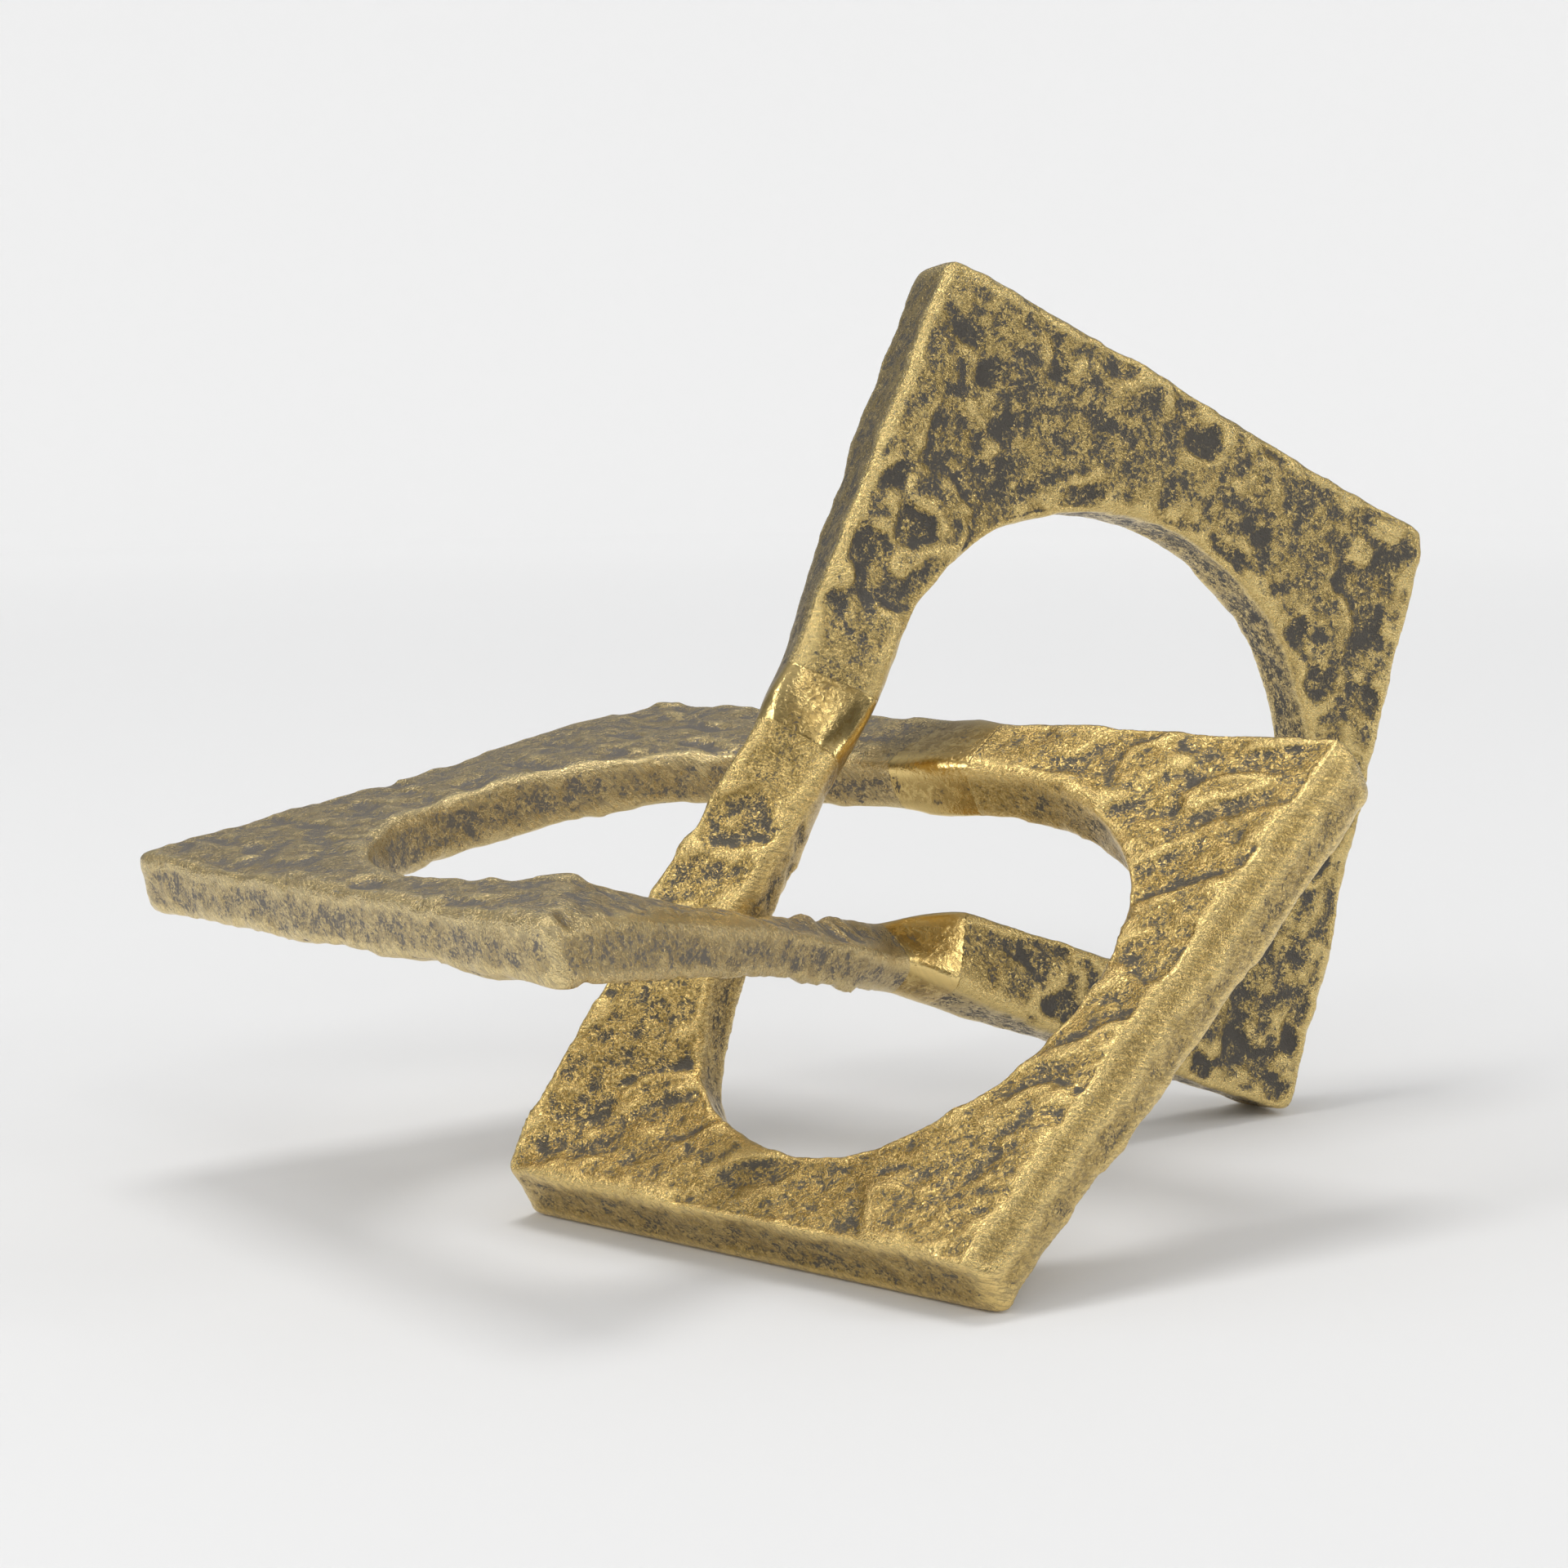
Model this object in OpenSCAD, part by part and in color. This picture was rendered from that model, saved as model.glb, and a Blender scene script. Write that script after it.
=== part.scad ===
// A closed band of cast brass, tied as a three-lobed knot.
// Three square plates, each with a large round hole and one corner left open,
// are set into each other. Where two plates meet, their bars are butted on a
// dowel pin and joined with a bead of filler metal, which is then dressed flush.
// Millimetres, +Z up, origin in the middle of the bounding box, on the table.

/* [Upper plate: stands upright, at the back right] */
// Middle of the plate
upper_at = [49, 38, 70.5]; // [-150:1:150]
// Turn about X, Y and Z
upper_turn = [82, 24.5, 21]; // [-180:1:180]
// Corners of the outline, clockwise from the lower left one
upper_outline = [[-66, -61], [-58, 67], [51, 59], [61, -51]]; // [-80:1:80]
// Middle of the hole
upper_hole_at = [0, -7]; // [-15:1:15]
// Half width of the hole, and its reach above and below its middle
upper_hole = [45, 45, 32]; // [30:1:46]
// Thickness of the plate
upper_thick = 14.5; // [8:0.5:18]

/* [Left plate: lies almost flat, halfway up] */
// Middle of the plate
left_at = [-37.5, -8, 61.5]; // [-150:1:150]
// Turn about X, Y and Z
left_turn = [9.5, -2, -53.5]; // [-180:1:180]
// Corners of the outline, clockwise from the lower left one
left_outline = [[-60, -54], [-57, 56], [51, 53], [64, -49]]; // [-80:1:80]
// Middle of the hole
left_hole_at = [8, -3]; // [-15:1:15]
// Half width of the hole, and its reach above and below its middle
left_hole = [38.5, 37.5, 36.5]; // [30:1:46]
// Thickness of the plate
left_thick = 11; // [8:0.5:18]

/* [Front plate: leans back, and stands on its lower edge] */
// Middle of the plate
front_at = [16, -19, 38.5]; // [-150:1:150]
// Turn about X, Y and Z
front_turn = [37, 0, -39]; // [-180:1:180]
// Corners of the outline, clockwise from the lower left one
front_outline = [[-49, -57], [-52, 54], [58, 57], [48, -57]]; // [-80:1:80]
// Middle of the hole
front_hole_at = [2, -1]; // [-15:1:15]
// Half width of the hole, and its reach above and below its middle
front_hole = [35, 41, 41]; // [30:1:46]
// Thickness of the plate
front_thick = 13; // [8:0.5:18]

/* [Joints between the plates] */
// Where the upper and the front plate meet
upper_front_knuckle = [0, 5, 77]; // [-150:1:150]
// Where the upper and the left plate meet
upper_left_knuckle = [16, 8, 38]; // [-150:1:150]
// Where the left and the front plate meet
left_front_knuckle = [25, 13, 68]; // [-150:1:150]
// Gap between two bars, which the filler metal closes
weld_gap = 14; // [8:1:20]
// How much the dressed bead stands proud, as a share of the bar
weld_crown = 0.06; // [0:0.01:0.15]
// Diameter of the dowel pins
pin_d = 4; // [3:0.5:6]
// Depth of a pin in each bar
pin_depth = 9; // [5:1:14]

/* [Hidden] */

// Sharpness of the outline's corners: a higher power is a sharper corner
corner_power = 45;
// Share of the twist that a bar takes up before the bead takes the rest
bar_twist = 0.8;
// How late in the bar the twist comes: a higher power is later
twist_power = 2;
bar_steps = 14;
side_steps = 24;
tail_sections = 8;
weld_sections = 6;
table_cut = 400;
// Brings the middle of the bounding box over the origin
centre_shift = [0.7, 5.4, 0];

// A plate is [at, turn, outline, hole_at, hole, thick, open corner,
//             knuckle it starts at, knuckle it ends at]
UPPER = [upper_at, upper_turn, upper_outline, upper_hole_at, upper_hole, upper_thick, 0,
         upper_front_knuckle, upper_left_knuckle];
LEFT = [left_at, left_turn, left_outline, left_hole_at, left_hole, left_thick, 2,
        upper_left_knuckle, left_front_knuckle];
FRONT = [front_at, front_turn, front_outline, front_hole_at, front_hole, front_thick, 1,
         left_front_knuckle, upper_front_knuckle];

function unit(v) = v / norm(v);
function mix(a, b, k) = a * (1 - k) + b * k;
function clamp(x) = min(1, max(0, x));

// Rotation matrix of a turn about X, then Y, then Z
function turn_x(a) = [[1, 0, 0], [0, cos(a), -sin(a)], [0, sin(a), cos(a)]];
function turn_y(a) = [[cos(a), 0, sin(a)], [0, 1, 0], [-sin(a), 0, cos(a)]];
function turn_z(a) = [[cos(a), -sin(a), 0], [sin(a), cos(a), 0], [0, 0, 1]];
function turn(a) = turn_z(a.z) * turn_y(a.y) * turn_x(a.x);
function flip(m) = [for (i = [0:2]) [for (j = [0:2]) m[j][i]]];

function to_world(p, q) = centre_shift + p[0] + turn(p[1]) * q;
function to_plate(p, q) = flip(turn(p[1])) * (q - p[0]);
function face_normal(p) = turn(p[1]) * [0, 0, 1];

// Corner k of a plate, counted from its open corner
function corner(p, k) = p[2][(p[6] + k) % 4];

// Outward normal of the side from corner k to corner k + 1, and its distance from the hole's middle
function side_normal(p, k) = let (d = unit(corner(p, k + 1) - corner(p, k))) [-d.y, d.x];
function side_reach(p, k) = (corner(p, k) - p[3]) * side_normal(p, k);

// Distance from the hole's middle to the outline and to the hole's edge, in one direction
function outline_reach(p, dir) =
    let (parts = [for (k = [0:3]) pow(max(0, side_normal(p, k) * dir) / side_reach(p, k), corner_power)])
    pow(parts * [1, 1, 1, 1], -1 / corner_power);
function hole_reach(p, dir) = 1 / norm([dir.x / p[4].x, dir.y / (dir.y > 0 ? p[4].y : p[4].z)]);

// A bar's run towards the open corner: it starts abreast of the hole's middle.
// end 0 is the bar on side 0 (corner 1 to the open corner), end 1 the bar on side 3.
function bar_side(end) = end == 0 ? 0 : 3;
function bar_dir(p, end) = end == 0 ? unit(corner(p, 0) - corner(p, 1)) : unit(corner(p, 0) - corner(p, 3));
function bar_foot(p, end) = let (n = side_normal(p, bar_side(end)))
    [p[3] + n * hole_reach(p, n), p[3] + n * side_reach(p, bar_side(end))];
function bar_mid(p, end) = let (f = bar_foot(p, end)) (f[0] + f[1]) / 2;
function flat3(v) = [v.x, v.y, 0];
function bar_run(p, end) = flat3(bar_dir(p, end));

// What the bar has to reach: its length past the hole, the offset out of line, and the twist
function knuckle_at(p, end) = to_plate(p, p[7 + end]) - flat3(bar_mid(p, end));
function tail_length(p, end) = knuckle_at(p, end) * bar_run(p, end) - weld_gap / 2;
function tail_offset(p, end) = let (k = knuckle_at(p, end), e = bar_run(p, end)) k - e * (k * e);
function tail_twist(p, end, normal) =
    let (e = bar_run(p, end), n = flip(turn(p[1])) * normal, side = cross(e, [0, 0, 1]))
    bar_twist * atan2(n * side, n.z);

// Progress along a bar, 0 at its corner and 1 at its end, from the distance past the hole's middle
function progress(p, end, y) =
    let (back = 0.75 * abs((corner(p, end == 0 ? 1 : 3) - bar_mid(p, end)) * bar_dir(p, end)))
    clamp((y + back) / (tail_length(p, end) + back));

// One section: inner top, outer top, outer bottom, inner bottom, moved and twisted with its bar
function section(p, inner, outer, s, end, twist) =
    let (m = flat3((inner + outer) / 2), e = bar_run(p, end), a = twist * pow(s, twist_power),
         h = p[5] / 2, half = flat3((outer - inner) / 2), up = [0, 0, h],
         up2 = up * cos(a) + cross(e, up) * sin(a), half2 = half * cos(a) + cross(e, half) * sin(a),
         c = m + tail_offset(p, end) * s)
    [for (q = [c - half2 + up2, c + half2 + up2, c + half2 - up2, c - half2 - up2]) to_world(p, q)];

function tail_section(p, end, x, twist) =
    let (f = bar_foot(p, end), d = bar_dir(p, end) * x)
    section(p, f[0] + d, f[1] + d, progress(p, end, x), end, twist);

function ring_section(p, angle, turned, span, twists) =
    let (dir = [cos(angle), sin(angle)], inner = p[3] + dir * hole_reach(p, dir),
         outer = p[3] + dir * outline_reach(p, dir), end = turned < span / 2 ? 0 : 1,
         y = ((inner + outer) / 2 - bar_mid(p, end)) * bar_dir(p, end),
         near = min(turned, span - turned) < 90)
    section(p, inner, outer, near ? progress(p, end, y) : 0, end, twists[end]);

// Direction from the hole's middle to corner k, and the turn from the ring's start, clockwise
function corner_turn(p, k, a0) = let (d = corner(p, k) - p[3]) (a0 - atan2(d.y, d.x) + 720) % 360;

// Steps from turn a to turn b, closer together towards both ends, where the corners are
function steps(a, b, n) = [for (i = [0:n - 1]) mix(a, b, (1 - cos(180 * i / n)) / 2)];
function ring_turns(p, a0, span) =
    let (c = [for (k = [1:3]) corner_turn(p, k, a0)])
    concat(steps(0, c[0], bar_steps), steps(c[0], c[1], side_steps), steps(c[1], c[2], side_steps),
           steps(c[2], span, bar_steps), [span]);

// All sections of a plate, from one bar's end round to the other's
function sections(p, twists) =
    let (n0 = side_normal(p, 0), n3 = side_normal(p, 3), a0 = atan2(n0.y, n0.x),
         span = (a0 - atan2(n3.y, n3.x) + 720) % 360, l0 = tail_length(p, 0), l1 = tail_length(p, 1))
    concat([for (i = [tail_sections:-1:1]) tail_section(p, 0, l0 * i / tail_sections, twists[0])],
           [for (t = ring_turns(p, a0, span)) ring_section(p, a0 - t, t, span, twists)],
           [for (i = [1:tail_sections]) tail_section(p, 1, l1 * i / tail_sections, twists[1])]);

// The plates' shared normals at the three knuckles
upper_front_normal = unit(2 * face_normal(UPPER) + face_normal(FRONT));
upper_left_normal = unit(2 * face_normal(UPPER) + face_normal(LEFT));
left_front_normal = unit(face_normal(LEFT) + face_normal(FRONT));

function twists(p, n0, n1) = [tail_twist(p, 0, n0), tail_twist(p, 1, n1)];
upper_sections = sections(UPPER, twists(UPPER, upper_front_normal, upper_left_normal));
left_sections = sections(LEFT, twists(LEFT, upper_left_normal, left_front_normal));
front_sections = sections(FRONT, twists(FRONT, left_front_normal, upper_front_normal));
function last(v) = v[len(v) - 1];

// A solid through four-cornered sections
module loft(rows) {
    n = len(rows);
    points = [for (row = rows) for (q = row) q];
    sides = [for (i = [0:n - 2]) for (j = [0:3]) let (k = (j + 1) % 4)
        each [[4 * i + j, 4 * i + k, 4 * i + 4 + j], [4 * i + k, 4 * i + 4 + k, 4 * i + 4 + j]]];
    ends = [[0, 2, 1], [0, 3, 2], [4 * n - 4, 4 * n - 3, 4 * n - 2], [4 * n - 4, 4 * n - 2, 4 * n - 1]];
    polyhedron(points, concat(sides, ends));
}

function middle(row) = (row[0] + row[1] + row[2] + row[3]) / 4;

// A dowel pin that runs from one bar's end face to the other's
module pin(row_a, row_b) {
    a = middle(row_a);
    b = middle(row_b);
    d = b - a;
    translate(a)
        rotate([0, acos(d.z / norm(d)), atan2(d.y, d.x)])
            translate([0, 0, -pin_depth])
                cylinder(h = norm(d) + 2 * pin_depth, d = pin_d, $fn = 32);
}

module upper_front_pin() {
    pin(last(front_sections), upper_sections[0]);
}

module upper_left_pin() {
    pin(last(upper_sections), left_sections[0]);
}

module left_front_pin() {
    pin(last(left_sections), front_sections[0]);
}

// Filler metal between two bars, with a low crown
module bead(row_a, row_b) {
    rows = [for (i = [0:weld_sections])
        let (k = i / weld_sections, row = [for (j = [0:3]) mix(row_a[j], row_b[j], k)], c = middle(row))
        [for (q = row) c + (q - c) * (1 + weld_crown * sin(180 * k))]];
    loft(rows);
}

// Everything below the table: the two standing plates are ground flat where they rest
module below_table() {
    translate([0, 0, -table_cut / 2])
        cube(table_cut, center = true);
}

module upper_casting() {
    color("darkgoldenrod")
        difference() {
            loft(upper_sections);
            upper_front_pin();
            upper_left_pin();
            below_table();
        }
}

module left_casting() {
    color("goldenrod")
        difference() {
            loft(left_sections);
            upper_left_pin();
            left_front_pin();
        }
}

module front_casting() {
    color("peru")
        difference() {
            loft(front_sections);
            left_front_pin();
            upper_front_pin();
            below_table();
        }
}

module weld_upper_front() {
    color("khaki")
        difference() {
            bead(last(front_sections), upper_sections[0]);
            upper_front_pin();
        }
}

module weld_upper_left() {
    color("khaki")
        difference() {
            bead(last(upper_sections), left_sections[0]);
            upper_left_pin();
        }
}

module weld_left_front() {
    color("khaki")
        difference() {
            bead(last(left_sections), front_sections[0]);
            left_front_pin();
        }
}

module pin_upper_front() {
    color("silver") upper_front_pin();
}

module pin_upper_left() {
    color("silver") upper_left_pin();
}

module pin_left_front() {
    color("silver") left_front_pin();
}

upper_casting();
left_casting();
front_casting();
weld_upper_front();
weld_upper_left();
weld_left_front();
pin_upper_front();
pin_upper_left();
pin_left_front();
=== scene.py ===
import math

import bmesh
import bpy
import numpy as np
from mathutils import Euler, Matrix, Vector
from mathutils.kdtree import KDTree


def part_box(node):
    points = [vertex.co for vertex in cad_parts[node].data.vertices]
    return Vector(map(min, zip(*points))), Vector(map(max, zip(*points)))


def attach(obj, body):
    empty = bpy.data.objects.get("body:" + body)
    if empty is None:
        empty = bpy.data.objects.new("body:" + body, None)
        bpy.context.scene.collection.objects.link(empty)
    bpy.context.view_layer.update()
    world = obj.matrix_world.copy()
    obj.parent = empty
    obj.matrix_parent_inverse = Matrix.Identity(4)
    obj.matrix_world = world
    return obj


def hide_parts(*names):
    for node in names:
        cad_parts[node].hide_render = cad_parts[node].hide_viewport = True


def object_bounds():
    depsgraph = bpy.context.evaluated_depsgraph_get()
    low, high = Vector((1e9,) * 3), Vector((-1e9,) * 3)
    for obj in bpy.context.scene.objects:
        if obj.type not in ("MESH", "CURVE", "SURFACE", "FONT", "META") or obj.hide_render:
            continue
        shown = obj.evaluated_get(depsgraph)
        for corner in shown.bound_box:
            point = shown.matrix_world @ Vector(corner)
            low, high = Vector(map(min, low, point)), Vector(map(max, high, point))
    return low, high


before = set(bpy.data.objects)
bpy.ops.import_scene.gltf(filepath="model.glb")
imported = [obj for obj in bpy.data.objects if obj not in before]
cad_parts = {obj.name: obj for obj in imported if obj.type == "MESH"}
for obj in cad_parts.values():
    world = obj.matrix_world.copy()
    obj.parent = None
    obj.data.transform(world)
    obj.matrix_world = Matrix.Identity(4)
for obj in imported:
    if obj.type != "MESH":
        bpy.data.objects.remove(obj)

MM = 0.001
cad_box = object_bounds()
low, high = np.array(cad_box[0]), np.array(cad_box[1])


# ---------------------------------------------------------------- studio
# A pale painted floor and a sweep that stands all round the sculpture. The board glows with
# painted light, an emission that grows further out from the middle and stands in for a backlight.
# A soft box hangs overhead, with a tall strip on each side and a weak fill near the camera, which looks
# slightly down on the front of the piece.
camera_at = Vector((-3.3, -566.6, 152)) * MM
camera_turn = Euler((math.radians(81.6), math.radians(0.75), 0))
camera_lens = 79.2
camera = bpy.data.objects.new("camera", bpy.data.cameras.new("camera"))
camera.location = camera_at
camera.rotation_euler = camera_turn
camera.data.lens = camera_lens
camera.data.sensor_width = 36
camera.data.clip_start = 0.01
bpy.context.scene.collection.objects.link(camera)
bpy.context.scene.camera = camera
bpy.context.scene.view_settings.view_transform = "Standard"

middle = Vector((low + high) / 2)


def soft_box(name, place, width, height, power):
    """A rectangular studio light that faces the middle of the piece."""
    lamp = bpy.data.lights.new(name, "AREA")
    lamp.shape = "RECTANGLE"
    lamp.size = width
    lamp.size_y = height
    lamp.energy = power
    light = bpy.data.objects.new(name, lamp)
    light.location = place
    light.rotation_euler = (middle - Vector(place)).to_track_quat("-Z", "Y").to_euler()
    bpy.context.scene.collection.objects.link(light)


soft_box("top_box", (-0.1, 0.15, 1.15), 0.42, 0.3, 3.6)
soft_box("left_strip", (-0.9, -0.45, 0.6), 0.14, 0.6, 2.5)
soft_box("right_strip", (0.95, -0.15, 0.5), 0.14, 0.6, 1.6)
soft_box("front_fill", (0.3, -1.0, 0.9), 0.3, 0.2, 1.2)


def add(tree, kind, inputs=None, **settings):
    """A shader node with its settings; an input is a number, a colour or another node's socket."""
    made = tree.nodes.new(kind)
    for key, value in settings.items():
        setattr(made, key, value)
    for key, value in (inputs or {}).items():
        if isinstance(value, bpy.types.NodeSocket):
            tree.links.new(value, made.inputs[key])
        else:
            made.inputs[key].default_value = value
    return made


world = bpy.data.worlds.new("studio")
world.use_nodes = True
sky = world.node_tree
sky.nodes.clear()
# Matt surfaces and the camera get an even paper white; the brass mirrors a darker room
paper = add(sky, "ShaderNodeBackground", {"Color": (0.86, 0.86, 0.86, 1), "Strength": 0.75})
height = add(sky, "ShaderNodeSeparateXYZ", {0: add(sky, "ShaderNodeTexCoord").outputs["Generated"]})
ceiling = add(sky, "ShaderNodeMapRange", {
    "Value": height.outputs[2], "From Min": 0.1, "From Max": 0.8, "To Min": 0.05, "To Max": 0.45})
far_wall = add(sky, "ShaderNodeMapRange", {
    "Value": height.outputs[1], "From Min": 0.1, "From Max": 0.9, "To Min": 0.0, "To Max": 0.3})
walls = add(sky, "ShaderNodeMath", {0: ceiling.outputs[0], 1: far_wall.outputs[0]}, operation="MAXIMUM")
room = add(sky, "ShaderNodeBackground", {"Color": (0.97, 0.98, 1.0, 1), "Strength": walls.outputs[0]})
mirrored = add(sky, "ShaderNodeLightPath").outputs["Is Glossy Ray"]
both = add(sky, "ShaderNodeMixShader", {0: mirrored, 1: paper.outputs[0], 2: room.outputs[0]})
add(sky, "ShaderNodeOutputWorld", {"Surface": both.outputs[0]})
bpy.context.scene.world = world

# Painted backlight: the board itself glows, more strongly further out from the middle.
glow_start = 0.2
glow_full = 1.4
glow_strength = 0.26

board = bpy.data.materials.new("painted_board")
board.use_nodes = True
paint = board.node_tree
paint.nodes["Principled BSDF"].inputs["Base Color"].default_value = (0.74, 0.74, 0.74, 1)
paint.nodes["Principled BSDF"].inputs["Roughness"].default_value = 0.9
paint.nodes["Principled BSDF"].inputs["Emission Strength"].default_value = glow_strength
from_middle = add(paint, "ShaderNodeVectorMath", {
    0: add(paint, "ShaderNodeTexCoord").outputs["Object"]}, operation="LENGTH")
painted_backlight_glow = add(paint, "ShaderNodeMapRange", {
    "Value": from_middle.outputs["Value"], "From Min": glow_start, "From Max": glow_full})
paint.links.new(painted_backlight_glow.outputs[0], paint.nodes["Principled BSDF"].inputs["Emission Color"])

floor_radius = 1.5
sweep_radius = 0.9
sweep_rings = 14
sweep_height = 3
sweep_sides = 96


def revolved(name, profile, sides):
    """A surface of revolution about the Z axis; the profile is a list of radius and height."""
    around = [2 * math.pi * k / sides for k in range(sides)]
    points = [(r * math.cos(a), r * math.sin(a), z) for r, z in profile for a in around]
    faces = []
    for ring in range(len(profile) - 1):
        for k in range(sides):
            a, b = ring * sides + k, ring * sides + (k + 1) % sides
            faces.append((a, b, b + sides, a + sides))
    mesh = bpy.data.meshes.new(name)
    mesh.from_pydata(points, [], faces)
    mesh.shade_smooth()
    made = bpy.data.objects.new(name, mesh)
    bpy.context.scene.collection.objects.link(made)
    return made


floor = revolved("floor", [(0.0005, 0), (floor_radius, 0)], sweep_sides)
curve = [math.pi / 2 * k / sweep_rings for k in range(sweep_rings + 1)]
sweep_profile = [
    (floor_radius + sweep_radius * math.sin(a), sweep_radius * (1 - math.cos(a))) for a in curve
]
sweep = revolved("sweep", sweep_profile + [(floor_radius + sweep_radius, sweep_height)], sweep_sides)
sweep.visible_glossy = False
for stand in (floor, sweep):
    stand.data.materials.append(board)


# ---------------------------------------------------------------- the closed band
# Three sand-cast brass plates are set into each other, butted on dowel pins and
# brazed. The closed band then goes over the belt and the file, so its edges are
# rounded and a little wavy, and they run on through the joints without a step.
CASTINGS = ["upper_casting", "left_casting", "front_casting"]
BEADS = ["weld_upper_front", "weld_upper_left", "weld_left_front"]
PINS = ["pin_upper_front", "pin_upper_left", "pin_left_front"]
mesh_pitch = 0.62 * MM
edge_rounds = 14
wave_depth = 0.9
wave_share = 0.6
wave_length = 24
ground_away = 0.35
skin_depth = 0.16
skin_length = 2.6
foot_height = 2.5


def copy_of(node, name):
    """A new object with a copy of a CAD node's mesh, its doubled corners merged."""
    piece = bpy.data.objects.new(name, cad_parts[node].data.copy())
    bpy.context.scene.collection.objects.link(piece)
    closed = bmesh.new()
    closed.from_mesh(piece.data)
    bmesh.ops.remove_doubles(closed, verts=closed.verts, dist=0.001 * MM)
    closed.to_mesh(piece.data)
    closed.free()
    return piece


def apply_modifiers(piece):
    """Replaces the piece's mesh with what its modifiers make of it."""
    depsgraph = bpy.context.evaluated_depsgraph_get()
    mesh = bpy.data.meshes.new_from_object(piece.evaluated_get(depsgraph), depsgraph=depsgraph)
    piece.modifiers.clear()
    old = piece.data
    piece.data = mesh
    bpy.data.meshes.remove(old)


def boolean(piece, other, operation):
    """Cuts the piece with another solid, or keeps what the two share."""
    tool = piece.modifiers.new("Boolean", "BOOLEAN")
    tool.object = other
    tool.operation = operation
    tool.solver = "MANIFOLD"
    apply_modifiers(piece)


def drop(piece):
    """Removes a helper object and its mesh."""
    mesh = piece.data
    bpy.data.objects.remove(piece)
    bpy.data.meshes.remove(mesh)


def per_vertex(mesh, field):
    """The mesh's positions (co) or normals (normal) in an array; positions are in millimetres."""
    flat = np.empty(len(mesh.vertices) * 3)
    mesh.vertices.foreach_get(field, flat)
    return flat.reshape(-1, 3) * (1 / MM if field == "co" else 1)


def set_points(mesh, points):
    """Moves the mesh's vertices to points in millimetres."""
    mesh.vertices.foreach_set("co", (points * MM).astype(np.float32).ravel())
    mesh.update()


def smoothed(mesh, values, rounds):
    """Values of a mesh's vertices after a number of rounds of averaging with their neighbours."""
    edges = np.empty(len(mesh.edges) * 2, dtype=np.int64)
    mesh.edges.foreach_get("vertices", edges)
    start, end = edges[0::2], edges[1::2]
    count = len(values)
    degree = np.maximum(np.bincount(start, minlength=count) + np.bincount(end, minlength=count), 1)
    for _ in range(rounds):
        around = np.stack([
            np.bincount(start, column[end], count) + np.bincount(end, column[start], count)
            for column in values.T
        ], axis=1)
        values = 0.5 * values + 0.5 * around / degree[:, None]
    return values


def hashed(cells, seed):
    """A number from 0 to 1 for each integer cell."""
    x, y, z = (cells[..., k].astype(np.uint64) for k in range(3))
    mixed = x * np.uint64(73856093) ^ y * np.uint64(19349663) ^ z * np.uint64(83492791)
    mixed = (mixed ^ np.uint64(seed * 7919)) * np.uint64(1274126177)
    mixed = (mixed ^ (mixed >> np.uint64(15))) * np.uint64(2246822519)
    mixed = mixed ^ (mixed >> np.uint64(13))
    return (mixed & np.uint64(0xFFFFFF)).astype(np.float64) / 0xFFFFFF


def noise(points, seed):
    """Smooth noise from -1 to 1 with features about one unit across."""
    shifted = points + 1000.0
    cell = np.floor(shifted).astype(np.int64)
    part = shifted - cell
    part = part * part * part * (part * (part * 6 - 15) + 10)
    total = np.zeros(len(points))
    for corner in np.ndindex(2, 2, 2):
        offset = np.array(corner)
        weight = np.prod(np.where(offset == 1, part, 1 - part), axis=1)
        total += weight * hashed(cell + offset, seed)
    return total * 2 - 1


def smoothstep(edge0, edge1, value):
    """0 before edge0, 1 after edge1 and a smooth step between them."""
    k = np.clip((value - edge0) / (edge1 - edge0), 0, 1)
    return k * k * (3 - 2 * k)


def off_the_floor(points):
    """1 on the piece, and 0 at the corners that it stands on, which stay as they are."""
    return smoothstep(0.4, foot_height, points[:, 2])


band = bpy.data.objects.new("band", bpy.data.meshes.new("band"))
bpy.context.scene.collection.objects.link(band)
gathered = bmesh.new()
for node in CASTINGS + BEADS + PINS:
    gathered.from_mesh(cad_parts[node].data)
gathered.to_mesh(band.data)
gathered.free()


def remeshed(piece, rounds):
    """Makes one even skin over the piece, and rounds its edges over a number of rounds."""
    remesh = piece.modifiers.new("Remesh", "REMESH")
    remesh.mode = "VOXEL"
    remesh.voxel_size = mesh_pitch
    apply_modifiers(piece)
    set_points(piece.data, smoothed(piece.data, per_vertex(piece.data, "co"), rounds))


remeshed(band, edge_rounds)

spots = per_vertex(band.data, "co")
wave = noise(spots / wave_length, 11) + 0.5 * noise(spots / wave_length * 2.3, 12)
skin = noise(spots / skin_length, 13) + 0.6 * noise(spots / skin_length * 2, 14)
proud = (wave * wave_depth * wave_share - ground_away + skin * skin_depth) * off_the_floor(spots)
set_points(band.data, spots + per_vertex(band.data, "normal") * proud[:, None])


# ---------------------------------------------------------------- brazed joints
# Each butt is filled with brass rod and dressed back with the file, so a joint is
# smoother and brighter than the castings beside it, with a few flat facets and
# low crests where the file stopped. The filler keeps a slightly yellower tone.
bead_swell = 1.5
joint_clear = 7.5
joint_fade = 22.0
blend_start = 8.0
blend_reach = 26.0
blend_rounds = 80
# Each facet is a joint, the way it faces, how deep the file went, and how far it reaches
FACETS = [
    ("weld_upper_front", (-0.75, -0.6, 0.25), 1.6, 11.0),
    ("weld_upper_front", (0.5, -0.85, 0.1), 1.2, 11.0),
    ("weld_upper_front", (0.1, 0.8, 0.5), 1.2, 12.0),
    ("weld_upper_left", (0.0, -0.7, 0.72), 0.8, 13.0),
    ("weld_upper_left", (0.1, -0.85, -0.5), 0.8, 12.0),
    ("weld_left_front", (-0.1, -0.5, 0.86), 0.6, 13.0),
    ("weld_left_front", (0.1, 0.9, 0.3), 0.6, 12.0),
]
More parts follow.
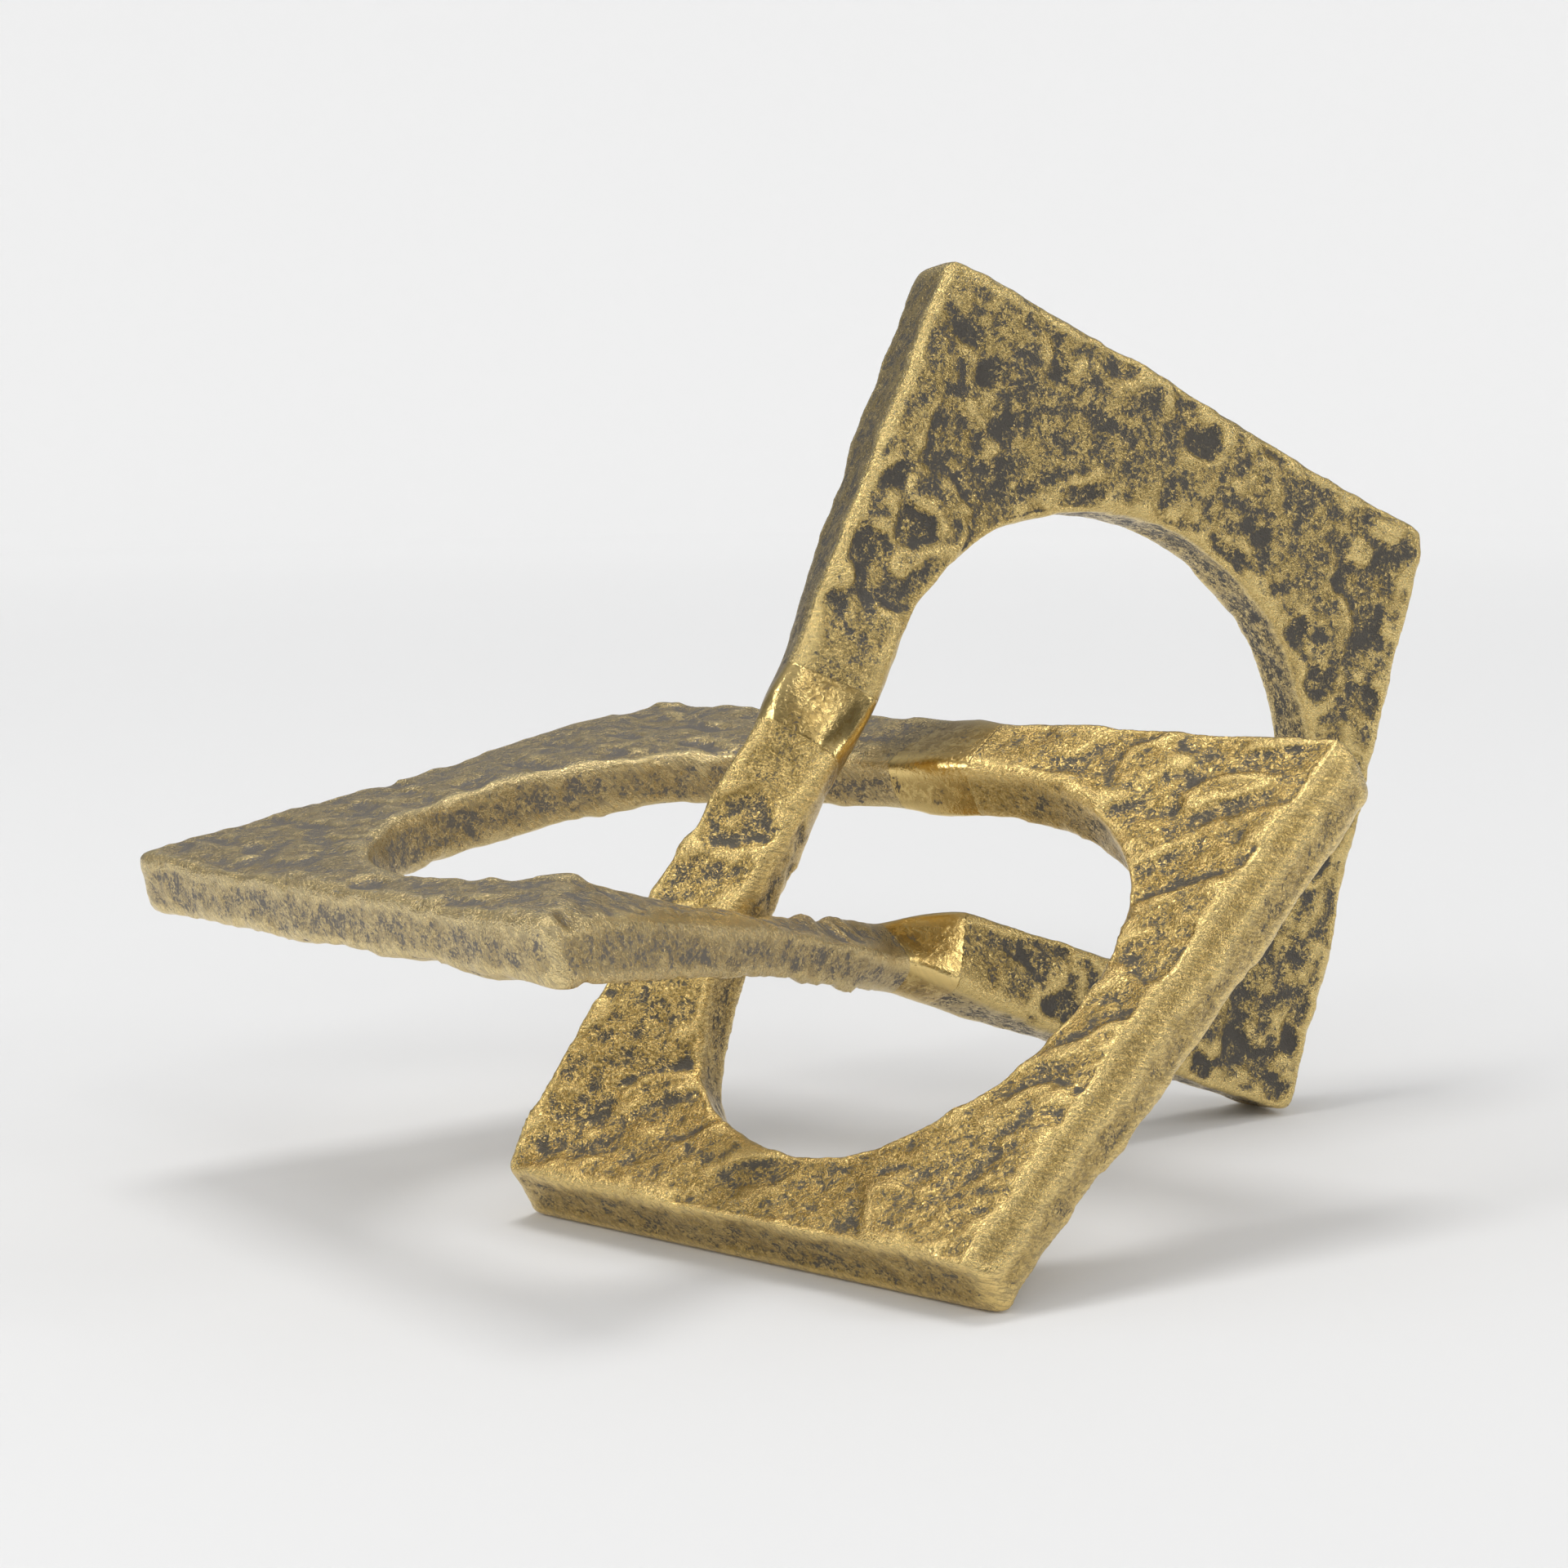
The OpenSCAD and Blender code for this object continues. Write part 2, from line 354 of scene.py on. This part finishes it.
# Each chamfer runs from one point to another, faces one way, and has a depth and a reach.
# They are the front plate's right edge, the left plate's front bar, and the left and the
# right side of the bar from the upper to the front plate.
CHAMFERS = [
    ((86.0, -19.5, 76.5), (25.0, -80.0, 11.0), (0.39, -0.78, 0.48), 2.4, 8.0),
    ((-31.0, -73.0, 60.0), (2.0, -16.0, 49.0), (0.35, -0.38, 0.86), 1.3, 9.0),
    ((-1.0, 8.5, 74.0), (-19.0, -3.0, 45.0), (-0.75, -0.64, 0.10), 3.2, 13.0),
    ((-1.0, 8.5, 74.0), (-19.0, -3.0, 45.0), (0.55, -0.80, 0.15), 1.0, 12.0),
]


def centre_of(node):
    """The middle of a CAD node's box, in millimetres."""
    lowest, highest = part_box(node)
    return (np.array(lowest) + np.array(highest)) / 2 / MM


JOINTS = {node: centre_of(node.replace("weld", "pin")) for node in BEADS}


def from_joints(points):
    """How far each point is from the nearest joint."""
    return np.min([np.linalg.norm(points - at, axis=1) for at in JOINTS.values()], axis=0)


def filed_flat(points, start, end, facing, depth, reach):
    """Files a flat along a line. Gives the points, and the share of the file in each."""
    facing = np.array(facing) / np.linalg.norm(facing)
    run = np.array(end) - start
    part = np.clip((points - start) @ run / max(run @ run, 1e-6), 0, 1)
    off = points - (start + part[:, None] * run)
    away, level = np.linalg.norm(off, axis=1), off @ facing
    over = np.maximum(level - level[away < reach].max() + depth, 0)
    fade = 1 - smoothstep(0.75 * reach, reach, away)
    return points - (over * fade)[:, None] * facing, smoothstep(0.02, 0.3, over) * fade


dressed = per_vertex(band.data, "co")
worn_in = (1 - smoothstep(blend_start, blend_reach, from_joints(dressed))) * off_the_floor(dressed)
dressed += (smoothed(band.data, dressed, blend_rounds) - dressed) * worn_in[:, None]
facet_mask, chamfer_mask = np.zeros(len(dressed)), np.zeros(len(dressed))
for node, facing, depth, reach in FACETS:
    dressed, cut = filed_flat(dressed, JOINTS[node], JOINTS[node], facing, depth, reach)
    facet_mask = np.maximum(facet_mask, cut)
for start, end, facing, depth, reach in CHAMFERS:
    dressed, cut = filed_flat(dressed, start, end, facing, depth, reach)
    chamfer_mask = np.maximum(chamfer_mask, cut)
set_points(band.data, dressed)
remeshed(band, 2)


def relief_of(mesh, rounds, full):
    """How proud each vertex stands of its smoothed surroundings, from -1 to 1 at full millimetres."""
    points = per_vertex(mesh, "co")
    stands = np.sum((points - smoothed(mesh, points, rounds)) * per_vertex(mesh, "normal"), axis=1)
    return np.clip(stands / full, -1, 1)


def tree_of(points):
    """A search tree over points."""
    tree = KDTree(len(points))
    for index, point in enumerate(points):
        tree.insert(point, index)
    tree.balance()
    return tree


before = tree_of(dressed)
dressed = per_vertex(band.data, "co")
same_place = [before.find(point)[1] for point in dressed]
facet_mask, chamfer_mask = facet_mask[same_place], chamfer_mask[same_place]
band_relief = relief_of(band.data, 60, 0.7)
band_crest = relief_of(band.data, 8, 0.12)
band_tree = tree_of(dressed)


def bead_cutter(node):
    """A convex solid that takes in the whole bar between the two ends of a bead."""
    points = per_vertex(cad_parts[node].data, "co")
    ends = []
    for casting in CASTINGS:
        tree = tree_of(per_vertex(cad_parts[casting].data, "co"))
        touching = np.array([p for p in points if tree.find(p)[2] < 0.01])
        if len(touching) >= 4:
            around = np.linalg.norm(touching - touching.mean(axis=0), axis=1)
            corners = touching[around > 0.6 * around.max()]
            middle_of_end = corners.mean(axis=0)
            ends.append(middle_of_end + (corners - middle_of_end) * bead_swell)
    mesh = bpy.data.meshes.new("cutter")
    mesh.from_pydata(np.concatenate(ends) * MM, [], [])
    shape = bmesh.new()
    shape.from_mesh(mesh)
    bmesh.ops.convex_hull(shape, input=shape.verts)
    shape.to_mesh(mesh)
    shape.free()
    cutter = bpy.data.objects.new("cutter", mesh)
    bpy.context.scene.collection.objects.link(cutter)
    return cutter


bead_pieces = {}
for node in BEADS:
    cutter = bead_cutter(node)
    bead = bpy.data.objects.new(node.replace("weld", "brazed_joint"), band.data.copy())
    bpy.context.scene.collection.objects.link(bead)
    boolean(bead, cutter, "INTERSECT")
    boolean(band, cutter, "DIFFERENCE")
    drop(cutter)
    bead_pieces[node] = bead


def drilled(piece, pins):
    """Drills the holes of the dowel pins."""
    for node in pins:
        drill = copy_of(node, "drill")
        boolean(piece, drill, "DIFFERENCE")
        drop(drill)


def store(piece, name, values):
    """Keeps one number or one vector per vertex for the material to read."""
    kind = "FLOAT" if values.ndim == 1 else "FLOAT_VECTOR"
    kept = piece.data.attributes.new(name, kind, "POINT")
    kept.data.foreach_set("value" if values.ndim == 1 else "vector", values.astype(np.float32).ravel())


def from_band(points):
    """The relief, crests, facets and chamfers that the closed band had at these points."""
    nearest = [band_tree.find(point)[1] for point in points]
    return band_relief[nearest], band_crest[nearest], facet_mask[nearest], chamfer_mask[nearest]


def finish_surface(piece):
    """Smooth shading with crisp edges where the piece is cut or drilled."""
    piece.data.shade_smooth()
    piece.data.set_sharp_from_angle(angle=math.radians(62))


def group(name, inputs, outputs):
    """An empty shader node group with number or vector inputs and outputs."""
    made = bpy.data.node_groups.new(name, "ShaderNodeTree")
    for socket, kind in inputs.items():
        made.interface.new_socket(socket, in_out="INPUT", socket_type=kind)
    for socket, kind in outputs.items():
        made.interface.new_socket(socket, in_out="OUTPUT", socket_type=kind)
    return made, made.nodes.new("NodeGroupInput"), made.nodes.new("NodeGroupOutput")


def place(tree, made, inputs):
    """Puts a node group into a material with its own values."""
    node = tree.nodes.new("ShaderNodeGroup")
    node.node_tree = made
    for key, value in inputs.items():
        if isinstance(value, bpy.types.NodeSocket):
            tree.links.new(value, node.inputs[key])
        else:
            node.inputs[key].default_value = value
    return node


def calc(tree, operation, a, b=0.0, c=0.0):
    """A math node."""
    return add(tree, "ShaderNodeMath", {0: a, 1: b, 2: c}, operation=operation).outputs[0]


def ramp(tree, value, start, end, low_to=0.0, high_to=1.0):
    """A smooth step of a value between start and end."""
    inputs = {"Value": value, "From Min": start, "From Max": end, "To Min": low_to, "To Max": high_to}
    return add(tree, "ShaderNodeMapRange", inputs, interpolation_type="SMOOTHSTEP").outputs[0]


def blend_colours(tree, share, a, b):
    """A mix of two colours."""
    return add(tree, "ShaderNodeMix", {0: share, 6: a, 7: b}, data_type="RGBA").outputs[2]


NUMBER, VECTOR = "NodeSocketFloat", "NodeSocketVector"

sand_grain, given, out = group(
    "Sand grain", {"Pitch": NUMBER}, {"Height": NUMBER, "Blotches": NUMBER})
at = add(sand_grain, "ShaderNodeTexCoord").outputs["Object"]
worms = add(sand_grain, "ShaderNodeTexNoise", {
    "Vector": at, "Scale": given.outputs["Pitch"], "Detail": 3.0, "Roughness": 0.6, "Distortion": 1.1})
lumps_pitch = calc(sand_grain, "MULTIPLY", given.outputs["Pitch"], 0.34)
lumps = add(sand_grain, "ShaderNodeTexNoise", {
    "Vector": at, "Scale": lumps_pitch, "Detail": 2.0, "Roughness": 0.5, "Distortion": 0.4})
lumps_share = calc(sand_grain, "MULTIPLY", lumps.outputs[0], 0.35)
grain = calc(sand_grain, "MULTIPLY_ADD", worms.outputs[0], 0.65, lumps_share)
sand_grain.links.new(grain, out.inputs["Height"])
blotch_pitch = calc(sand_grain, "MULTIPLY", given.outputs["Pitch"], 0.11)
blotches = add(sand_grain, "ShaderNodeTexNoise", {
    "Vector": at, "Scale": blotch_pitch, "Detail": 3.0, "Roughness": 0.6, "Distortion": 0.8})
sand_grain.links.new(blotches.outputs[0], out.inputs["Blotches"])

file_marks, given, out = group(
    "File marks", {"Place": VECTOR, "Slant": NUMBER, "Pitch": NUMBER}, {"Height": NUMBER})
along = add(file_marks, "ShaderNodeSeparateXYZ", {0: given.outputs["Place"]})
leaning = calc(file_marks, "MULTIPLY", along.outputs[2], given.outputs["Slant"])
stroke = add(file_marks, "ShaderNodeCombineXYZ", {
    0: calc(file_marks, "ADD", along.outputs[0], leaning),
    1: calc(file_marks, "ADD", along.outputs[1], leaning),
    2: calc(file_marks, "MULTIPLY", along.outputs[2], 0.07)})
scratches = add(file_marks, "ShaderNodeTexNoise", {
    "Vector": stroke.outputs[0], "Scale": given.outputs["Pitch"], "Detail": 3.0, "Roughness": 0.65})
file_marks.links.new(scratches.outputs[0], out.inputs["Height"])

rubbed_patina, given, out = group(
    "Rubbed patina",
    {"Amount": NUMBER, "Relief": NUMBER, "Crest": NUMBER, "Grain": NUMBER, "Blotches": NUMBER},
    {"Patina": NUMBER, "Polish": NUMBER})
kept_dark = calc(rubbed_patina, "MULTIPLY_ADD", given.outputs["Relief"], -0.36, given.outputs["Amount"])
kept_dark = calc(rubbed_patina, "MULTIPLY_ADD", given.outputs["Crest"], -0.22, kept_dark)
blotched = calc(rubbed_patina, "SUBTRACT", given.outputs["Blotches"], 0.5)
kept_dark = calc(rubbed_patina, "MULTIPLY_ADD", blotched, 1.1, kept_dark)
grainy = calc(rubbed_patina, "SUBTRACT", 0.5, given.outputs["Grain"])
kept_dark = calc(rubbed_patina, "MULTIPLY_ADD", grainy, 2.8, kept_dark)
rubbed_patina.links.new(ramp(rubbed_patina, kept_dark, 0.38, 0.68), out.inputs["Patina"])
rubbed = calc(rubbed_patina, "MULTIPLY_ADD", given.outputs["Crest"], 0.5, given.outputs["Relief"])
rubbed_patina.links.new(ramp(rubbed_patina, rubbed, -0.1, 0.9), out.inputs["Polish"])


def brass(name, bright, brown, stain, amount, pitch, slant, grain_depth, base_roughness):
    """Cast brass: polished high spots, brown flats, grey patina in the hollows, and file marks."""
    material = bpy.data.materials.new(name)
    material.use_nodes = True
    tree = material.node_tree
    surface = tree.nodes["Principled BSDF"]

    def stored(attribute, output="Fac"):
        return add(tree, "ShaderNodeAttribute", attribute_name=attribute).outputs[output]

    filed, facet = stored("filed"), stored("facet")
    smooth = calc(tree, "MAXIMUM", facet, calc(tree, "MULTIPLY", filed, 0.55))
    sand = place(tree, sand_grain, {"Pitch": pitch})
    amount_here = calc(tree, "MULTIPLY_ADD", facet, -0.35, amount)
    patina = place(tree, rubbed_patina, {
        "Amount": amount_here, "Relief": stored("relief"), "Crest": stored("crest"),
        "Grain": sand.outputs["Height"], "Blotches": sand.outputs["Blotches"]})
    marks = place(tree, file_marks, {
        "Place": stored("plate_at", "Vector"), "Slant": slant, "Pitch": 1500.0})
    scratch = calc(tree, "MULTIPLY", ramp(tree, marks.outputs[0], 0.53, 0.40), filed)

    tone = ramp(tree, sand.outputs["Height"], 0.40, 0.62)
    tone = calc(tree, "MAXIMUM", calc(tree, "MULTIPLY", tone, 0.75), patina.outputs["Polish"])
    metal = blend_colours(tree, tone, brown, bright)
    dark = calc(tree, "MAXIMUM", patina.outputs["Patina"], calc(tree, "MULTIPLY", scratch, 0.6))
    tree.links.new(blend_colours(tree, dark, metal, stain), surface.inputs["Base Color"])
    tree.links.new(ramp(tree, dark, 0.0, 1.0, 1.0, 0.62), surface.inputs["Metallic"])
    rough = ramp(tree, dark, 0.0, 1.0, base_roughness, 0.56)
    rough = calc(tree, "MULTIPLY_ADD", tone, -0.07, rough)
    tree.links.new(rough, surface.inputs["Roughness"])

    height = calc(tree, "MULTIPLY", sand.outputs["Height"], ramp(tree, smooth, 0.0, 1.0, 1.0, 0.22))
    skin_bump = add(tree, "ShaderNodeBump", {
        "Height": height, "Strength": 1.0, "Distance": grain_depth * MM})
    file_height = calc(tree, "MULTIPLY", marks.outputs[0], filed)
    file_bump = add(tree, "ShaderNodeBump", {
        "Height": file_height, "Strength": 0.8, "Distance": 0.14 * MM, "Normal": skin_bump.outputs[0]})
    tree.links.new(file_bump.outputs[0], surface.inputs["Normal"])
    return material


filler = brass(
    "filler_brass",
    bright=(0.88, 0.66, 0.27, 1), brown=(0.42, 0.28, 0.09, 1),
    stain=(0.13, 0.115, 0.09, 1),
    amount=0.36, pitch=900.0, slant=0.5, grain_depth=0.22, base_roughness=0.30)
for node, bead in bead_pieces.items():
    drilled(bead, [node.replace("weld", "pin")])
    spots = per_vertex(bead.data, "co")
    relief, crest, facet, chamfer = from_band(spots)
    store(bead, "relief", relief)
    store(bead, "crest", crest)
    store(bead, "facet", np.maximum(facet, 0.35))
    store(bead, "filed", np.maximum(0.3 * chamfer, 0.12))
    store(bead, "plate_at", spots * MM)
    finish_surface(bead)
    bead.data.materials.clear()
    bead.data.materials.append(filler)
    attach(bead, "root")
    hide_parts(node)


# ---------------------------------------------------------------- upper casting
# The plate that stands upright at the back is sand cast, and its faces are beaten
# with a round-nosed punch, which leaves uneven dents. Its hole is filed across, and
# grey patina is left in the dents.
def loose_parts(piece):
    """The separate solids of a mesh, each as an object of its own."""
    bpy.ops.object.select_all(action="DESELECT")
    piece.select_set(True)
    bpy.context.view_layer.objects.active = piece
    bpy.ops.mesh.separate(type="LOOSE")
    return list(bpy.context.selected_objects)


cut_parts = loose_parts(band)


def cut_from_band(node, name):
    """The part of the cut band whose box is nearest to a CAD node's box."""
    corners = np.array([tuple(corner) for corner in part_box(node)]) / MM

    def misfit(part):
        points = per_vertex(part.data, "co")
        return np.abs(np.array([points.min(axis=0), points.max(axis=0)]) - corners).sum()

    part = min(cut_parts, key=misfit)
    part.name = name
    return part


def plate_axes(turn):
    """The plate's own X, Y and Z axes, as the rows of a matrix."""
    return np.array(Euler([math.radians(angle) for angle in turn]).to_matrix()).T


def hammered(piece, at, turn, dents, wall_depth, seed):
    """Beats the faces of a plate, and leaves its walls and its joints alone but for a slow wave."""
    mesh = piece.data
    spots, facing, axes = per_vertex(mesh, "co"), per_vertex(mesh, "normal"), plate_axes(turn)
    here = (spots - at) @ axes.T
    square_on = np.abs(facing @ axes[2])
    face = smoothstep(0.45, 0.85, square_on)
    rim = smoothstep(0.15, 0.5, square_on) * (1 - smoothstep(0.7, 0.95, square_on))
    clear = smoothstep(joint_clear, joint_fade, from_joints(spots)) * off_the_floor(spots)
    side = np.sign(facing @ axes[2])[:, None] * np.array([[0, 0, 40]])
    beaten = dents(here + side) * face
    clear = clear * (1 - from_band(spots)[3])
    nicks = -0.55 * smoothstep(0.1, 0.6, noise(here / 3.6, seed + 7)) * rim
    ripple = wall_depth * (noise(here / 9.0, seed + 8) + 0.5 * noise(here / 4.0, seed + 9)) * (1 - face)
    blows = smoothed(mesh, facing * ((beaten + nicks + ripple) * clear)[:, None], 3)
    set_points(mesh, np.clip(spots + blows, low / MM, high / MM))


def dress_casting(piece, node, at, turn, dents, wall_depth, seed, pins, material):
    """Hammers, drills and finishes one casting, and puts it in the place of its CAD node."""
    hammered(piece, at, turn, dents, wall_depth, seed)
    relief, crest = relief_of(piece.data, 60, 0.7), relief_of(piece.data, 7, 0.10)
    near_joint = 1 - smoothstep(joint_clear, joint_fade, from_joints(per_vertex(piece.data, "co")))
    undrilled = tree_of(per_vertex(piece.data, "co"))
    drilled(piece, pins)
    spots = per_vertex(piece.data, "co")
    nearest = [undrilled.find(point)[1] for point in spots]
    joint_relief, joint_crest, facet, chamfer = from_band(spots)
    share = near_joint[nearest]
    store(piece, "relief", relief[nearest] * (1 - share) + joint_relief * share)
    store(piece, "crest", crest[nearest] * (1 - share) + joint_crest * share)
    store(piece, "facet", np.maximum.reduce([facet, 0.35 * share, 0.5 * chamfer]))
    square_on = np.abs(per_vertex(piece.data, "normal") @ plate_axes(turn)[2])
    filed = (1 - smoothstep(0.25, 0.6, square_on)) * (1 - share) + 0.12 * share
    store(piece, "filed", np.maximum(filed * 0.7, 0.3 * chamfer))
    store(piece, "plate_at", (spots - at) @ plate_axes(turn).T * MM)
    finish_surface(piece)
    piece.data.materials.clear()
    piece.data.materials.append(material)
    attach(piece, "root")
    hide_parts(node)


def punch_dents(here):
    """Uneven round dents, deeper in some stretches than in others, in millimetres."""
    warped = here + 1.6 * np.stack([noise(here / 5.0, 20 + k) for k in range(3)], axis=1)
    dent = noise(warped / 6.2, 31)
    small = noise(warped / 3.0, 32)
    broad = noise(warped / 13.0, 33)
    hollow = smoothstep(-0.1, 0.6, dent + 0.35 * broad)
    return -0.95 * hollow + 0.30 * small * (1 - 0.6 * hollow) + 0.12 * broad - 0.1


upper_at = (49.7, 43.4, 70.5)
upper_turn = (82, 24.5, 21)
upper_brass = brass(
    "upper_cast_brass",
    bright=(0.86, 0.66, 0.28, 1), brown=(0.36, 0.255, 0.09, 1),
    stain=(0.12, 0.11, 0.095, 1),
    amount=0.51, pitch=1700.0, slant=0.35, grain_depth=0.62, base_roughness=0.24)
dress_casting(
    cut_from_band("upper_casting", "upper_plate"), "upper_casting", upper_at, upper_turn, punch_dents,
    0.28, 40, ["pin_upper_front", "pin_upper_left"], upper_brass)


# ---------------------------------------------------------------- left casting
# The plate that lies almost flat is sand cast and only lightly beaten, in short
# strokes along its length, so its top keeps a finely rippled skin. Its outer walls
# are filed.
def light_strokes(here):
    """Shallow ripples, longer than they are wide."""
    warped = here + 1.4 * np.stack([noise(here / 6.0, 50 + k) for k in range(3)], axis=1)
    stroke = noise(warped / (9.0, 4.2, 6.0), 61)
    small = noise(warped / (3.6, 2.4, 3.0), 62)
    return -0.75 * smoothstep(-0.1, 0.55, stroke) + 0.2 * small


left_at = (-36.8, -2.6, 61.5)
left_turn = (9.5, -2, -53.5)
# Painted sheen: this plate's brass gets paler, greyer tones than the other plates, standing in for the
# overhead light glancing off its upturned top.
left_brass = brass(
    "left_cast_brass",
    bright=(0.82, 0.65, 0.33, 1), brown=(0.44, 0.33, 0.16, 1),
    stain=(0.2, 0.18, 0.155, 1),
    amount=0.49, pitch=1700.0, slant=0.6, grain_depth=0.5, base_roughness=0.29)
dress_casting(
    cut_from_band("left_casting", "left_plate"), "left_casting", left_at, left_turn, light_strokes,
    0.32, 70, ["pin_upper_left", "pin_left_front"], left_brass)


# ---------------------------------------------------------------- front casting
# The plate that leans back on its lower edge is sand cast and beaten with the
# edge of the hammer, which leaves long slanting ridges. A narrow chamfer is
# ground along its right edge, and both are filed across.
def slanting_blows(here):
    """Long ridges and furrows that run across the plate on a slant."""
    lean = math.radians(28)
    run = here[:, 0] * math.cos(lean) + here[:, 1] * math.sin(lean)
    over = here[:, 1] * math.cos(lean) - here[:, 0] * math.sin(lean)
    turned = np.stack([run, over, here[:, 2]], axis=1)
    warped = turned + 1.5 * np.stack([noise(turned / 6.0, 80 + k) for k in range(3)], axis=1)
    ridge = noise(warped / (11.0, 4.6, 8.0), 91)
    small = noise(warped / (3.8, 2.2, 3.0), 92)
    return -0.95 * smoothstep(-0.35, 0.45, ridge) + 0.2 * small + 0.15


front_at = (16.7, -13.6, 38.5)
front_turn = (37, 0, -39)
front_brass = brass(
    "front_cast_brass",
    bright=(0.88, 0.66, 0.27, 1), brown=(0.40, 0.275, 0.085, 1),
    stain=(0.13, 0.115, 0.09, 1),
    amount=0.36, pitch=1700.0, slant=0.7, grain_depth=0.5, base_roughness=0.24)
dress_casting(
    cut_from_band("front_casting", "front_plate"), "front_casting", front_at, front_turn, slanting_blows,
    0.22, 100, ["pin_left_front", "pin_upper_front"], front_brass)


# ---------------------------------------------------------------- dowel pins
# Each butt is lined up on a short dowel of drawn brass rod, chamfered at both
# ends and grooved along its length so that it grips in the drilled holes. The
# pins are out of sight once the joint is brazed.
pin_grooves = 3
pin_facets = 48
groove_depth = 0.22
groove_width = 0.35
chamfer = 0.5
pin_clearance = 0.05

drawn = bpy.data.materials.new("drawn_brass")
drawn.use_nodes = True
tree = drawn.node_tree
surface = tree.nodes["Principled BSDF"]
lengthwise = add(tree, "ShaderNodeMapping", {
    "Vector": add(tree, "ShaderNodeTexCoord").outputs["Generated"], "Scale": (1.0, 1.0, 0.05)})
lines = add(tree, "ShaderNodeTexNoise", {"Vector": lengthwise.outputs[0], "Scale": 60.0, "Detail": 3.0})
drawn_colour = blend_colours(
    tree, ramp(tree, lines.outputs[0], 0.35, 0.65), (0.62, 0.44, 0.16, 1), (0.84, 0.66, 0.30, 1))
tree.links.new(drawn_colour, surface.inputs["Base Color"])
tree.links.new(ramp(tree, lines.outputs[0], 0.3, 0.7, 0.34, 0.22), surface.inputs["Roughness"])
drawn_bump = add(tree, "ShaderNodeBump", {
    "Height": lines.outputs[0], "Strength": 0.4, "Distance": 0.03 * MM})
tree.links.new(drawn_bump.outputs[0], surface.inputs["Normal"])
surface.inputs["Metallic"].default_value = 1.0


def dowel(node):
    """A grooved dowel along the axis of a CAD pin."""
    points = per_vertex(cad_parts[node].data, "co")
    centre = points.mean(axis=0)
    axis = np.linalg.svd(points - centre, full_matrices=False)[2][0]
    half = ((points - centre) @ axis).max() - pin_clearance
    radius = np.linalg.norm(np.cross(points - centre, axis), axis=1).max() - pin_clearance
    across = np.cross(axis, (0, 0, 1) if abs(axis[2]) < 0.9 else (1, 0, 0))
    across /= np.linalg.norm(across)
    up = np.cross(axis, across)
    profile = [(-half, radius - chamfer), (-half + chamfer, radius), (half - chamfer, radius),
               (half, radius - chamfer)]
    verts, faces = [], []
    for along_axis, reach in profile:
        for k in range(pin_facets):
            angle = 2 * math.pi * k / pin_facets
            turned = (angle * pin_grooves / (2 * math.pi)) % 1 - 0.5
            groove = groove_depth * math.exp(-(turned / groove_width * 2.5) ** 2)
            ring = across * math.cos(angle) + up * math.sin(angle)
            verts.append(centre + axis * along_axis + ring * (reach - groove))
    for row in range(len(profile) - 1):
        for k in range(pin_facets):
            a, b = row * pin_facets + k, row * pin_facets + (k + 1) % pin_facets
            faces.append((a, b, b + pin_facets, a + pin_facets))
    last_row = (len(profile) - 1) * pin_facets
    faces.append(tuple(range(pin_facets - 1, -1, -1)))
    faces.append(tuple(range(last_row, last_row + pin_facets)))
    mesh = bpy.data.meshes.new(node.replace("pin", "dowel"))
    mesh.from_pydata(np.array(verts) * MM, [], faces)
    mesh.shade_smooth()
    mesh.set_sharp_from_angle(angle=math.radians(30))
    return bpy.data.objects.new(mesh.name, mesh)


for node in PINS:
    pin = dowel(node)
    bpy.context.scene.collection.objects.link(pin)
    pin.data.materials.append(drawn)
    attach(pin, "root")
    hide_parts(node)
